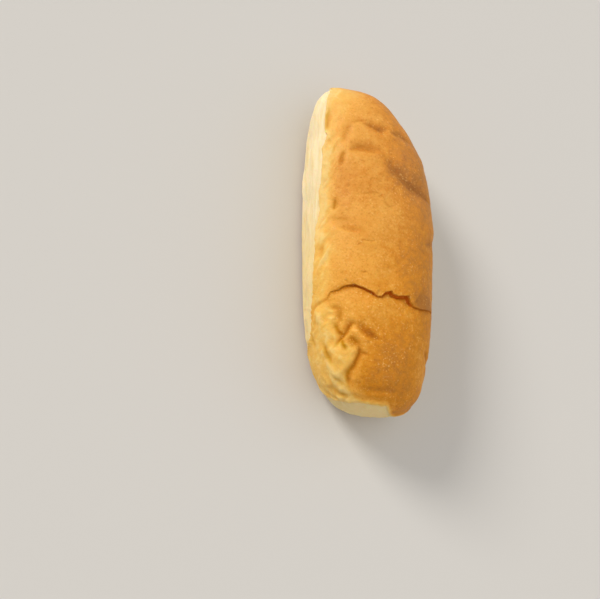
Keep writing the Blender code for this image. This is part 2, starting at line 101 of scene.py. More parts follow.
# A crease's tint deepens its colour, partly the crust's own and partly painted shade and bounced light;
# its step lifts the skin on the left of its path, and a depth below zero makes a ridge
Crease = namedtuple("Crease", "depth width tint step path")
CREASES = (
    # far end
    Crease(0.0004, 0.0010, 0.30, 0, ((-27, 0.0560), (-18, 0.0572), (-10, 0.0579), (0, 0.0577))),
    Crease(0.0006, 0.0017, 0.25, 0,
           ((-20, 0.0553), (-27, 0.0535), (-31, 0.0505), (-33, 0.0472), (-37, 0.0435))),
    Crease(0.0016, 0.0018, 0.40, 0,
           ((-14, 0.0567), (-6, 0.0561), (1, 0.0552), (7, 0.0541), (12, 0.0546), (22, 0.0579))),
    Crease(0.0014, 0.0020, 0.36, 0,
           ((-31, 0.0402), (-26, 0.0413), (-19, 0.0425), (-12, 0.0426), (-4, 0.0423), (9, 0.0408))),
    Crease(0.0008, 0.0012, 0.65, 0, ((-34, 0.0412), (-36, 0.0385), (-37.5, 0.0355), (-39, 0.0315))),
    Crease(0.0014, 0.0028, 0.36, 0.0002,
           ((-3, 0.0410), (6, 0.0373), (12, 0.0331), (19, 0.0288), (31, 0.0251), (50, 0.0225),
            (72, 0.0210))),
    Crease(0.0011, 0.0010, 0.30, 0, ((10, 0.0345), (19, 0.0288), (31, 0.0251), (50, 0.0225), (68, 0.0212))),
    Crease(0.0009, 0.0018, 0.35, 0, ((18, 0.0548), (24, 0.0538), (32, 0.0532), (40, 0.0510), (49, 0.0480))),
    Crease(0.0005, 0.0010, 0.60, 0, ((-48, 0.0680), (-50, 0.0610), (-51, 0.0550), (-51, 0.0510))),
    # middle
    Crease(0.0007, 0.0011, 0.85, 0, ((-45, 0.0172), (-46.5, 0.0133), (-48, 0.0100))),
    Crease(0.0004, 0.0022, 0.25, 0, ((-54, 0.0066), (-46, 0.0060), (-40, 0.0056), (-31, 0.0044))),
    Crease(0.0006, 0.0010, 0.30, -0.0003, ((-48, 0.0026), (-37, 0.0012), (-30, 0.0002), (-17, -0.0006))),
    Crease(-0.0006, 0.0012, 0, 0,
           ((-48, -0.0040), (-50, -0.0071), (-54, -0.0107), (-59, -0.0145), (-64, -0.0175))),
    Crease(0.0006, 0.0012, 0.30, 0, ((-57, -0.0060), (-60, -0.0083), (-60.5, -0.0103), (-61, -0.0150))),
    # near end, where the skin has crumpled
    Crease(0.0006, 0.0013, 1.00, 0,
           ((-58, -0.0328), (-50, -0.0296), (-42, -0.0279), (-34, -0.0268), (-26, -0.0268), (-18, -0.0286))),
    Crease(0.0005, 0.0007, 0.60, 0, ((-52, -0.0312), (-60, -0.0332), (-66, -0.0341), (-80, -0.0352))),
    Crease(0.0005, 0.0015, 0.60, 0,
           ((-57, -0.0350), (-51, -0.0362), (-45, -0.0371), (-44, -0.0406), (-46, -0.0433), (-49, -0.0450))),
    Crease(0.0007, 0.0013, 1.00, 0,
           ((-54, -0.0428), (-50, -0.0445), (-47, -0.0471), (-43, -0.0495), (-40, -0.0512))),
    Crease(0.0010, 0.0012, 1.00, -0.0003,
           ((-62, -0.0570), (-54, -0.0548), (-49, -0.0529), (-44, -0.0502), (-39, -0.0477), (-36, -0.0455),
            (-33, -0.0438), (-27, -0.0449), (-24, -0.0466))),
    Crease(0.0008, 0.0016, 0.90, -0.0004,
           ((-34, -0.0439), (-27, -0.0447), (-23, -0.0470), (-17, -0.0490), (-10, -0.0506), (2, -0.0522))),
    Crease(0.0008, 0.0020, 1.00, 0,
           ((-42, -0.0500), (-36, -0.0510), (-33, -0.0519), (-29, -0.0530), (-24, -0.0545))),
    Crease(0.0010, 0.0012, 1.00, -0.0003,
           ((-36, -0.0512), (-31, -0.0528), (-28.5, -0.0548), (-28, -0.0572), (-31, -0.0598), (-35, -0.0627),
            (-41, -0.0650), (-45, -0.0676), (-47, -0.0703), (-47, -0.0740), (-46, -0.0775))),
    Crease(0.0006, 0.0009, 0.80, 0, ((-31, -0.0570), (-26, -0.0574), (-18, -0.0580))),
    Crease(0.0006, 0.0013, 1.00, 0, ((-46, -0.0508), (-44, -0.0522), (-42, -0.0547), (-41, -0.0570))),
    Crease(-0.0003, 0.0008, 0, 0, ((-41, -0.0508), (-35, -0.0525), (-31.5, -0.0548), (-30.5, -0.0590))),
    Crease(-0.0005, 0.0010, 0, 0,
           ((-38, -0.0466), (-34, -0.0474), (-27, -0.0481), (-24, -0.0500), (-19, -0.0514), (-8, -0.0512))),
    Crease(-0.0008, 0.0018, 0, 0, ((-71, -0.0345), (-69, -0.0378), (-67, -0.0404), (-63, -0.0450))),
    Crease(-0.0004, 0.0006, 0, 0, ((-59, -0.0386), (-51, -0.0380), (-45, -0.0381))),
    Crease(-0.0004, 0.0006, 0, 0, ((-59, -0.0411), (-52, -0.0412), (-46, -0.0409))),
    Crease(-0.0008, 0.0010, 0, 0,
           ((-74, -0.0510), (-71, -0.0548), (-67, -0.0609), (-62, -0.0654), (-55, -0.0676), (-50, -0.0680))),
    Crease(0.0006, 0.0017, 0.80, 0, ((-69, -0.0508), (-66, -0.0552), (-63, -0.0592), (-60, -0.0632))),
    Crease(0.0004, 0.0013, 0.30, 0, ((-70, -0.0655), (-60, -0.0681), (-54, -0.0702), (-42, -0.0722))),
    Crease(-0.0005, 0.0013, 0, 0, ((-66, -0.0700), (-58, -0.0708), (-51, -0.0716), (-40, -0.0712))),
    Crease(0.0008, 0.0012, 0.40, 0,
           ((-84, -0.0705), (-77, -0.0719), (-69, -0.0738), (-60, -0.0754), (-48, -0.0763))),
    Crease(0.0006, 0.0024, 0.15, 0,
           ((-47, -0.0716), (-31, -0.0729), (-14, -0.0735), (4, -0.0728), (26, -0.0696))),
    Crease(0.0004, 0.0012, 0.40, 0, ((-88, -0.0455), (-87, -0.0472), (-86, -0.0510), (-79, -0.0517))),
    Crease(-0.0005, 0.0010, 0, 0, ((-99, -0.0445), (-99, -0.0481), (-97, -0.0512))),
    Crease(-0.0003, 0.0006, 0, 0, ((-110, -0.0314), (-91, -0.0342), (-80, -0.0352))),
    # the side away from the pale flank
    Crease(0.0011, 0.0014, 0.50, 0, ((44, -0.0525), (55, -0.0540), (63, -0.0560), (76, -0.0600))),
    Crease(0.0009, 0.0022, 0.30, 0, ((76, 0.0050), (56, 0.0010), (38, -0.0020))),
    # hairline cracks
    Crease(0.0002, 0.0006, 0.35, 0, ((-24, 0.0187), (-18, 0.0189), (-11, 0.0195), (-5, 0.0194))),
    Crease(0.0003, 0.0005, 0.45, 0, ((-4, 0.0192), (-5, 0.0182), (-7, 0.0170))),
    Crease(0.0002, 0.0006, 0.35, 0, ((-4, 0.0154), (2, 0.0136), (5, 0.0114))),
    Crease(0.0003, 0.0004, 0.50, 0,
           ((-33, -0.0066), (-24, -0.0064), (-21, -0.0046), (-14, -0.0048), (-4, -0.0036))),
    Crease(0.0003, 0.0004, 0.40, 0, ((-25, -0.0201), (-16, -0.0200))),
    Crease(0.0004, 0.0005, 0.50, 0, ((-38, -0.0230), (-34, -0.0254))),
)  # fmt: skip

Bulge = namedtuple("Bulge", "turn y reach height")
BULGES = (
    Bulge(-49, -0.0570, 0.0048, 0.0011),
    Bulge(-53, -0.0640, 0.0050, 0.0008),
    Bulge(-31, -0.0500, 0.0024, 0.0005),
    Bulge(-67, -0.0395, 0.0045, 0.0008),
    Bulge(-56, -0.0470, 0.0045, 0.0007),
    Bulge(-20, -0.0380, 0.0080, 0.0006),
    Bulge(-50, 0.0018, 0.0030, 0.0006),
    Bulge(33, 0.0400, 0.0110, 0.0012),
    Bulge(-72, 0.0710, 0.0110, 0.0022),
    Bulge(-78, 0.0530, 0.0090, -0.0009),
    Bulge(0, 0.0800, 0.0120, -0.0016),
    Bulge(-15, 0.0200, 0.0140, 0.0006),
)

# The split where the skin broke across the roll, as x, y and how far it gapes, where 1 is wide open
SPLIT = (
    (-0.0267, -0.0335, 0.0), (-0.0240, -0.0318, 0.15), (-0.0233, -0.0289, 0.25), (-0.0210, -0.0284, 0.25),
    (-0.0175, -0.0262, 0.3), (-0.0136, -0.0256, 0.6), (-0.0083, -0.0276, 0.8), (-0.0049, -0.0292, 0.9),
    (-0.0030, -0.0308, 0.5), (-0.0013, -0.0306, 0.5), (0.0005, -0.0287, 0.7), (0.0037, -0.0274, 1.2),
    (0.0046, -0.0290, 1.5), (0.0070, -0.0294, 1.6), (0.0127, -0.0286, 1.8), (0.0141, -0.0320, 1.2),
    (0.0153, -0.0332, 0.5), (0.0193, -0.0339, 0.4), (0.0283, -0.0328, 0.3), (0.0330, -0.0325, 0.0),
)  # fmt: skip
SPLIT_PIECES = 8  # how finely each stretch of the split is cut
SPLIT_JITTER = 0.0003
SPLIT_JITTER_SPACING = 0.0016
SPLIT_OPENS = (0.1, 0.9)  # how far it gapes where it starts to open, and where it is fully open
SPLIT_RISE = 0.0010  # of its far lip
SPLIT_DROP = 0.0008  # of its near lip
SPLIT_REACH = 0.0080
SPLIT_GAP = 0.0009  # depth of the gap under the far lip
SPLIT_GAP_WIDTH = 0.0005
SPLIT_GAP_LEAST = 0.4  # share of that width where it doesn't gape
SPLIT_GAP_PLACE = -0.8  # where it is deepest, in its widths beyond the split
SPLIT_SHADE_GROWTH = 1.2  # how much the gap's dark colour widens as it gapes
SPLIT_SHADE_EDGE = (1.5, 0.7)  # in widths of the gap
# the near lip of the split takes the crease colour: partly its own, partly painted shade
SPLIT_TINT_WIDTH = 0.0014
SPLIT_TINT_OPENS = (0, 0.3)
SPLIT_OVERHANG = 0.0002
SPLIT_OVERHANG_REACH = 0.0018

# Crumpled skin, as fine ridges and grooves in places
CRUMPLE_WOBBLE = 2  # how far it strays, as a multiple of what creases do
CRUMPLE_GROOVES = (1.4, 0.7)  # spacing and height of its grooves, as shares of its ridges'
Crumple = namedtuple("Crumple", "turn y reach spacing height")
CRUMPLES = (
    Crumple(-60, -0.0410, 0.0080, 0.0042, 0.0003),
    Crumple(-52, -0.0400, 0.0110, 0.0026, 0.0002),
    Crumple(-62, -0.0560, 0.0110, 0.0050, 0.0006),
    Crumple(-50, -0.0570, 0.0140, 0.0032, 0.0002),
    Crumple(-70, -0.0730, 0.0130, 0.0046, 0.0006),
    Crumple(-36, -0.0690, 0.0080, 0.0045, 0.0003),
    Crumple(-48, 0.0500, 0.0110, 0.0045, 0.0003),
    Crumple(110, -0.0500, 0.0200, 0.0060, 0.0007),
    Crumple(95, 0.0450, 0.0160, 0.0055, 0.0005),
)

# Slanting folds in the skin next to the pale flank
BAND_WIDTH = 0.013
BAND_FROM = 0.001  # how far inside the crust's edge they are at their full height
BAND_TO = 0.3  # share of the band's width where they start to fade out
BAND_SLANT = math.radians(30)
BAND_FOLDS = ((0.0034, 5, 0.00070), (0.0015, 4, 0.00022))  # spacing, stretch along the folds, height

# Where the crust ends: y and degrees on either side, and x and height on the near end
LEFT_EDGE = (
    (-0.0700, -125), (-0.0600, -122), (-0.0550, -118), (-0.0515, -108), (-0.0480, -97), (-0.0445, -88),
    (-0.0354, -81), (-0.0264, -75), (-0.0170, -72), (-0.0074, -70), (0.0025, -70), (0.0080, -67),
    (0.0121, -65), (0.0174, -66), (0.0222, -65), (0.0271, -62), (0.0322, -60), (0.0372, -58),
    (0.0430, -59), (0.0463, -56), (0.0500, -53), (0.0540, -56), (0.0610, -55), (0.0671, -53),
    (0.0717, -53), (0.0765, -52), (0.0785, -56), (0.0799, -78), (0.0809, -110), (0.0818, -185),
)  # fmt: skip
RIGHT_EDGE = (
    (-0.0820, 105), (-0.0600, 94), (-0.0200, 86), (0.0200, 88), (0.0500, 92), (0.0700, 100),
    (0.0780, 118), (0.0806, 145), (0.0818, 185),
)  # fmt: skip
NEAR_EDGE_Y = -0.0785
NEAR_EDGE = (
    (-0.0200, 0.0120), (-0.0137, 0.0170), (-0.0101, 0.0240), (-0.0065, 0.0285), (0.0014, 0.0310),
    (0.0070, 0.0315), (0.0098, 0.0260), (0.0125, 0.0190), (0.0250, 0.0150),
)  # fmt: skip
GIRTH_PER_DEGREE = 0.0005  # length round the roll
# How the edge wanders: spacing, and amount on the left and on the right
EDGE_WANDER = ((0.011, 0.0004, 0.0026), (0.0032, 0.0005, 0.0010))

# The pale band of crust next to the left flank: y and the degrees where it ends, and y and its bake
BAND_EDGE = (
    (-0.0800, -42), (-0.0702, -47), (-0.0672, -46), (-0.0646, -39), (-0.0612, -34), (-0.0572, -30),
    (-0.0540, -36), (-0.0504, -45), (-0.0468, -48), (-0.0376, -51), (-0.0324, -61), (-0.0279, -56),
    (-0.0210, -51), (-0.0091, -50), (-0.0049, -53), (0.0014, -57), (0.0063, -57), (0.0160, -53),
    (0.0235, -51), (0.0338, -49), (0.0416, -46), (0.0576, -53), (0.0642, -48), (0.0707, -42), (0.0775, -28),
    (0.0790, -34), (0.0800, -60), (0.0810, -100), (0.0818, -180),
)  # fmt: skip
BAND_BAKE = (
    (-0.080, 0.14), (-0.052, 0.15), (-0.035, 0.16), (-0.020, 0.28), (-0.008, 0.15), (0.000, 0.05),
    (0.025, 0.00), (0.040, 0.06), (0.060, 0.08), (0.076, 0.02), (0.082, 0.20),
)  # fmt: skip
BAND_JUMP = 0.28  # how much the crust browns right at the band's edge
BAND_JUMP_WIDTH = 0.0018
# y, and the width over which the crust goes on browning beyond the band
LEFT_FADE = (
    (-0.080, 0.016), (-0.050, 0.016), (-0.030, 0.014), (-0.015, 0.018), (0.000, 0.015), (0.010, 0.010),
    (0.018, 0.006), (0.035, 0.005), (0.043, 0.010), (0.055, 0.016), (0.080, 0.030),
)  # fmt: skip
RIGHT_FADE = 0.009  # width over which it browns from the right edge, and from the one on the near end
NEAR_FADE = 0.005
BAND_WANDER = 2  # how far the band's edge wanders, as a multiple of what the crust's edge does
MIDDLE_BAKE = 0.68  # how far the crown is baked
BROWN_BAKE = (0.1, 0.5)  # how far the skin is baked where the next three start to count, and count fully
NEAR_END_BAKE = 0.10  # how much more the near end is baked
NEAR_END_BAKE_OVER = (-0.01, -0.07)  # y
FAR_END_BAKE = -0.09
FAR_END_BAKE_OVER = (0.03, 0.08)  # y
# partly more bake and partly painted shade: darker and browner towards the right, away from the key light
RIGHT_BAKE_AND_SHADE = 0.46
RIGHT_BAKE_AND_SHADE_OVER = (-10, 44)  # degrees
Patch = namedtuple("Patch", "turn y reach bake")
PATCHES = (
    # partly more bake and partly painted shade, low on the near end
    Patch(1, -0.0600, 0.0140, 0.58),
    Patch(-20, -0.0160, 0.0100, -0.12),
    # painted light: less bake makes the near end's right side paler, where the lamps leave it in shade
    Patch(40, -0.0580, 0.0130, -0.50),
    Patch(12, -0.0150, 0.0120, 0.25),
    # partly more bake and partly painted shade, on the right of the far half
    Patch(20, 0.0350, 0.0160, 0.35),
    Patch(-36, 0.0230, 0.0080, 0.22),
)
# painted shade: extra bake darkens the far side of the split, where its far lip slopes away from the light
SPLIT_LIP_SHADE = Patch(40, -0.0315, 0.0055, 1.1)  # on the far side of the split alone

# The crust's edge: its step, the groove outside it and the curl inside it
SKIN_STEP = 0.0006
SKIN_STEP_EDGE = (-0.0005, 0.0007)
SKIN_GROOVE = 0.0005
SKIN_GROOVE_PLACE = -0.0004
SKIN_GROOVE_WIDTH = 0.0006
SKIN_CURL = 0.0003
SKIN_CURL_WIDTH = 0.0012
NEAR_END_CRISPNESS = 0.35  # how much of the crust's edge is left at the near end
NEAR_END_CRISP = (-0.055, -0.040)  # y where it is softest, and where it is crisp again
FLANK_FOLDS = ((0.007, 6, 0.0006), (0.0032, 4, 0.0002))  # spacing, stretch along the roll, height

# Long shallow creases on both flanks, drawn at random between these limits
FLANK_CREASES = 16
FLANK_SEED = 5
FLANK_CREASE_REACH = 0.062  # how far from the middle of the roll they start
FLANK_CREASE_TURN = (92, 118)
FLANK_CREASE_LEAN = 14
FLANK_CREASE_LENGTH = (0.012, 0.022)
FLANK_CREASE_DEPTH = (0.0006, 0.0012)
FLANK_CREASE_WIDTH = (0.0009, 0.0018)
FLANK_CREASE_TINT = 0.15
FLANK_CREASE_STEP = 0.0003


def smooth_step(low, high, value):
    share = np.clip((value - low) / (high - low), 0, 1)
    return share * share * (3 - 2 * share)


def half_width_at(station):
    return HALF_WIDTH * (1 + FAR_END_FLARE * station)


def bow_at(station):
    far = FAR_END_BOW * np.maximum(station, 0) ** 2
    near = NEAR_END_BOW * np.maximum(-station, 0) ** 2
    return MIDDLE_BOW + far + near


def end_roundness(station):
    return np.where(station > 0, FAR_END_ROUNDNESS, NEAR_END_ROUNDNESS)


def section_roundness(rise):
    return np.where(rise > 0, CROWN_ROUNDNESS, UNDERSIDE_ROUNDNESS)


def place(unit):
    """Turns points of the rounded unit block into points of the smooth roll."""
    side, station, rise = unit.T
    x = bow_at(station) + half_width_at(station) * side
    above = WAIST + (HEIGHT - WAIST) * rise
    below = WAIST + UNDERSIDE * rise
    z = np.where(rise > 0, above, below)
    blended = (z + BASE_EDGE) ** 2 / (4 * BASE_EDGE)
    z = np.where(z > BASE_EDGE, z, np.where(z < -BASE_EDGE, 0.0, blended))
    return np.stack([x, HALF_LENGTH * station, z], axis=1)


def block_reach(block):
    """How far out each point of the block lies, as a multiple of the rounded block."""
    side, station, rise = np.abs(block.T)
    section = section_roundness(block[:, 2])
    ends = end_roundness(block[:, 1])
    girth = (side**section + rise**section) ** (1 / section)
    return (girth**ends + station**ends) ** (1 / ends)


def turn_of(unit):
    """Degrees round from the crown of points of the unit block."""
    return np.degrees(np.arctan2(unit[:, 0], unit[:, 2]))


def skin_points(places):
    """Points of the smooth roll at places given as degrees round from the crown, and y."""
    turn, y = np.array(places, float).T
    side, rise = np.sin(np.radians(turn)), np.cos(np.radians(turn))
    station = y / HALF_LENGTH
    ends = end_roundness(station)
    section = section_roundness(rise)
    girth = np.maximum(1 - np.abs(station) ** ends, 0) ** (1 / ends)
    girth /= (np.abs(side) ** section + np.abs(rise) ** section) ** (1 / section)
    return place(np.stack([girth * side, station, girth * rise], axis=1))


def crown_points(x, y):
    """The points of the smooth roll above places x, y."""
    station = y / HALF_LENGTH
    ends = end_roundness(station)
    girth = np.maximum(1 - np.abs(station) ** ends, 0) ** (1 / ends)
    side = (x - bow_at(station)) / half_width_at(station)
    left = girth**CROWN_ROUNDNESS - np.abs(side) ** CROWN_ROUNDNESS
    rise = np.maximum(left, 0) ** (1 / CROWN_ROUNDNESS)
    return place(np.stack([side, station, rise], axis=1))


def rows_along():
    """The block's rows, finer next to the split."""
    even = np.linspace(-1, 1, ALONG_FACES + 1)
    thirds = np.arange(-3 * SPLIT_FINE_ROWS, 3 * SPLIT_FINE_ROWS + 1) * 2 / ALONG_FACES / 3
    return np.unique(np.round(np.concatenate([even, SPLIT_ROW + thirds]), 9))


def block_shell(*lines):
    """Points and faces of a cube from -1 to 1, cut at the lines, with an open bottom and a narrow foot."""
    points, faces = [], []
    for axis, sign in ((0, -1), (0, 1), (1, -1), (1, 1), (2, 1)):
        pair = lines[(axis + 1) % 3], lines[(axis + 2) % 3]
        rows, columns = len(pair[0]) - 1, len(pair[1]) - 1
        grid = np.stack(np.meshgrid(*pair, indexing="ij"), axis=-1).reshape(-1, 2)
        corner = np.add.outer(np.arange(rows) * (columns + 1), np.arange(columns)).reshape(-1)
        quads = np.stack([corner, corner + columns + 1, corner + columns + 2, corner + 1], axis=1)
        faces.append(quads[:, ::sign] + sum(map(len, points)))
        points.append(np.roll(np.insert(grid, 0, sign, axis=1), axis, axis=1))
    points, index = np.unique(np.round(np.concatenate(points), 9), axis=0, return_inverse=True)
    points[:, :2] *= 1 - (1 - BLOCK_FOOT) * (1 - points[:, 2:]) / 2
    return points, index.reshape(-1)[np.concatenate(faces)]


def normals_of(points, faces):
    a, b, c, d = (points[faces[:, corner]] for corner in range(4))
    face_normals = np.cross(c - a, d - b)
    normals = np.zeros_like(points)
    for corner in range(4):
        np.add.at(normals, faces[:, corner], face_normals)
    return normals / np.linalg.norm(normals, axis=1)[:, None]


def noise_at(points, spacing):
    return np.array([noise.noise(Vector(point)) for point in points / spacing])


def ridged_noise(points, spacing):
    """Noise with sharp ridges, at most 0.5."""
    return 0.5 - 2 * np.abs(noise_at(points, spacing))


def split_line():
    """The split as x, y and how far it gapes, in many small uneven steps."""
    places = np.array(SPLIT)
    share = np.arange(0, len(places) - 1 + 1e-6, 1 / SPLIT_PIECES)
    x, y, gape = (np.interp(share, np.arange(len(places)), column) for column in places.T)
    uneven = noise_at(np.stack([x, 0 * x, 0 * x], axis=1), SPLIT_JITTER_SPACING)
    return x, y + SPLIT_JITTER * uneven, gape


SPLIT_X, SPLIT_Y, SPLIT_GAPE = split_line()


def split_y(x):
    return np.interp(x, SPLIT_X, SPLIT_Y)


def follow_split(block):
    """Bends the block's rows, so that one of them runs along the split."""
    bent = block.copy()
    row = block[:, 1]
    pull = 1 - smooth_step(0, SPLIT_PULL, np.abs(row - SPLIT_ROW))
    for _ in range(BEND_PASSES):
        reach = block_reach(bent)
        x = place(bent / reach[:, None])[:, 0]
        target = reach * split_y(x) / HALF_LENGTH
        bent[:, 1] = row + pull * (target - SPLIT_ROW)
    return bent


def smooth_path(path, pieces=6):
    """A rounder path through the same places."""
    places = np.array([path[0], *path, path[-1]], float)
    share = np.linspace(0, 1, pieces, endpoint=False)[:, None]
    found = []
    for a, b, c, d in zip(places, places[1:], places[2:], places[3:]):
        cubic = share**3 * (3 * b - a - 3 * c + d) + share**2 * (2 * a - 5 * b + 4 * c - d)
        found.append((cubic + share * (c - a) + 2 * b) / 2)
    return np.concatenate([*found, places[-1:]])


def distance_to(path, points, normals):
    """How far points lie from a path, how far along it, from 0 to 1, and 1 on its left or -1."""
    nearest = np.full(len(points), np.inf)
    along = np.zeros(len(points))
    left = np.ones(len(points))
    count = len(path) - 1
    for index in range(count):
        start, leg = path[index], path[index + 1] - path[index]
        share = np.clip((points - start) @ leg / (leg @ leg), 0, 1)
        offset = points - start - share[:, None] * leg
        distance = np.linalg.norm(offset, axis=1)
        closer = distance < nearest
        nearest[closer] = distance[closer]
        along[closer] = (index + share[closer]) / count
        left[closer] = np.sign(np.einsum("ij,ij->i", np.cross(leg, offset[closer]), normals[closer]))
    return nearest, along, left


# ---------------------------------------------------------------- camera

CAMERA_SIDE_TILT = math.radians(20)  # towards the pale flank
CAMERA_END_TILT = math.radians(18)  # towards the near end
CAMERA_TURN = math.radians(-1.26)
CAMERA_DISTANCE = 0.5
SENSOR_WIDTH = 36
LENS = 61
FRAME_WIDTH = 600
FRAME_HEIGHT = 599
ROLL_MIDDLE = Vector((MIDDLE_BOW, 0, HEIGHT / 2))
ROLL_MIDDLE_PIXEL = (370.8, 245.9)


def add_camera():
    data = bpy.data.cameras.new("camera")
    data.sensor_width = SENSOR_WIDTH
    data.lens = LENS
    camera = bpy.data.objects.new("camera", data)
    bpy.context.scene.collection.objects.link(camera)
    bpy.context.scene.camera = camera
    back = Vector((-math.tan(CAMERA_SIDE_TILT), -math.tan(CAMERA_END_TILT), 1)).normalized()
    up = Vector((0, 1, 0)) - back.y * back
    up.rotate(Matrix.Rotation(-CAMERA_TURN, 3, back))
    up.normalize()
    facing = Matrix((up.cross(back), up, back)).transposed()
    pixel = SENSOR_WIDTH / FRAME_WIDTH / LENS
    right = (ROLL_MIDDLE_PIXEL[0] - FRAME_WIDTH / 2) * pixel
    above = (FRAME_HEIGHT / 2 - ROLL_MIDDLE_PIXEL[1]) * pixel
    aim = Vector((right, above, -1)).rotation_difference(Vector((0, 0, -1))).to_matrix()
    camera.matrix_world = (facing @ aim).to_4x4()
    camera.location = ROLL_MIDDLE + back * CAMERA_DISTANCE


# ---------------------------------------------------------------- relief of the roll


def crease_relief(crease, points, normals, wobble):
    """The points near a crease, how far it lifts them, and from 0 to 1 their depth in it and its tint."""
    path = skin_points(smooth_path(crease.path))
    reach = CREASE_REACH * crease.width + WOBBLE
    close = np.all((points > path.min(axis=0) - reach) & (points < path.max(axis=0) + reach), axis=1)
    distance, along, left = distance_to(path, points[close] + wobble[close], normals[close])
    strength = smooth_step(0, TAPER, along) * smooth_step(1, 1 - TAPER, along)
    width = crease.width * (0.5 + 0.5 * strength)
    away = distance / width
    valley = strength * np.exp(CREASE_ROUNDING - np.sqrt(away**2 + CREASE_ROUNDING**2))
    lips = LIP * max(0, crease.depth) * strength * np.exp(-(((away - LIP_PLACE) / LIP_WIDTH) ** 2))
    step = crease.step * strength * left * np.tanh(away) * np.exp(-away / STEP_REACH)
    ridge = max(0, -crease.depth) * valley
    tint = crease.tint * strength * np.exp(-(away**2))
    return close, lips + step + ridge, valley, tint


def bulge_relief(bulge, points):
    middle = skin_points([(bulge.turn, bulge.y)])
    distance = np.linalg.norm(points - middle, axis=1)
    return bulge.height * np.exp(-((distance / bulge.reach) ** 2))


def split_distance(points, normals):
    """Distance from the split, above zero on its far side, and how far it gapes there."""
    path = crown_points(SPLIT_X, SPLIT_Y)
    distance, along, _ = distance_to(path, points, normals)
    gape = np.interp(along * (len(SPLIT_GAPE) - 1), np.arange(len(SPLIT_GAPE)), SPLIT_GAPE)
    far_side = points[:, 1] >= split_y(points[:, 0]) - 1e-6
    return np.where(far_side, distance, -distance), gape


def split_relief(distance, gape):
    far = SPLIT_RISE * np.exp(-distance / SPLIT_REACH)
    near = -SPLIT_DROP * np.exp(distance / SPLIT_REACH)
    width = SPLIT_GAP_WIDTH * (SPLIT_GAP_LEAST + gape)
    gap = -SPLIT_GAP * gape * np.exp(-((distance / width - SPLIT_GAP_PLACE) ** 2))
    lips = np.where(distance >= 0, far, near)
    return smooth_step(*SPLIT_OPENS, gape) * lips + np.where(distance >= 0, 0, gap)


def split_colour(distance, gape):
    """How deep the near lip's tint is, and how much the dark of the gap shows, from 0 to 1."""
    tint = np.exp(-((distance / SPLIT_TINT_WIDTH) ** 2)) * smooth_step(*SPLIT_TINT_OPENS, gape)
    width = SPLIT_GAP_WIDTH * (SPLIT_GAP_LEAST + SPLIT_SHADE_GROWTH * gape)
    gap = smooth_step(*SPLIT_OPENS, gape) * smooth_step(*SPLIT_SHADE_EDGE, np.abs(distance) / width)
    return np.where(distance < 0, tint, 0), np.where(distance < 0, gap, 0)


def column(pairs, at):
    """The value at a place in a list of pairs of place and value."""
    places, values = np.array(pairs).T
    return np.interp(at, places, values)


def patch_bake_and_shade(patch, points):
    distance = np.linalg.norm(points - skin_points([(patch.turn, patch.y)]), axis=1)
    return patch.bake * np.exp(-((distance / patch.reach) ** 2))


def crust_reach(unit, points):
    """How far inside the crust's edge points lie, below zero outside, and their bake and painted shading."""
    x, y, z = points.T
    turn = turn_of(unit)
    left = GIRTH_PER_DEGREE * (turn - column(LEFT_EDGE, y))
    right = GIRTH_PER_DEGREE * (column(RIGHT_EDGE, y) - turn)
    near = (y - NEAR_EDGE_Y + z - column(NEAR_EDGE, x)) / math.sqrt(2)
    band = GIRTH_PER_DEGREE * (turn - column(BAND_EDGE, y))
    for spacing, left_amount, right_amount in EDGE_WANDER:
        wander = noise_at(points, spacing)
        left = left + left_amount * wander
        band = band + BAND_WANDER * left_amount * wander
        near = near + left_amount * wander
        right = right + right_amount * wander
    browned = smooth_step(0, 1, band / column(LEFT_FADE, y))
    baked_and_shaded = column(BAND_BAKE, y) * (1 - browned) + (MIDDLE_BAKE - BAND_JUMP) * browned
    baked_and_shaded += BAND_JUMP * smooth_step(-BAND_JUMP_WIDTH, BAND_JUMP_WIDTH, band)
    baked_and_shaded *= smooth_step(0, RIGHT_FADE, right) * smooth_step(0, NEAR_FADE, near)
    brown = smooth_step(*BROWN_BAKE, baked_and_shaded)
    baked_and_shaded += brown * NEAR_END_BAKE * smooth_step(*NEAR_END_BAKE_OVER, y)
    baked_and_shaded += brown * FAR_END_BAKE * smooth_step(*FAR_END_BAKE_OVER, y)
    baked_and_shaded += brown * RIGHT_BAKE_AND_SHADE * smooth_step(*RIGHT_BAKE_AND_SHADE_OVER, turn)
    baked_and_shaded += sum(patch_bake_and_shade(patch, points) for patch in PATCHES)
    # painted shade beyond the split, where its far lip slopes away from the light
    baked_and_shaded += patch_bake_and_shade(SPLIT_LIP_SHADE, points) * (y > split_y(x))
    return np.minimum(np.minimum(left, right), near), baked_and_shaded


def flank_relief(points, crust):
    """The crust stands a little proud of the pale flanks, which have folds along them."""
    flank = 1 - smooth_step(*SKIN_STEP_EDGE, crust)
    folds = 0
    for spacing, stretch, height in FLANK_FOLDS:
        folds -= height * (0.5 - ridged_noise(points / (1, stretch, 1), spacing))
    groove = SKIN_GROOVE * np.exp(-(((crust - SKIN_GROOVE_PLACE) / SKIN_GROOVE_WIDTH) ** 2))
    curl = SKIN_CURL * np.exp(-((crust / SKIN_CURL_WIDTH - 1) ** 2))
    crisp = NEAR_END_CRISPNESS + (1 - NEAR_END_CRISPNESS) * smooth_step(*NEAR_END_CRISP, points[:, 1])
    return flank * folds + crisp * (curl - groove - flank * SKIN_STEP)


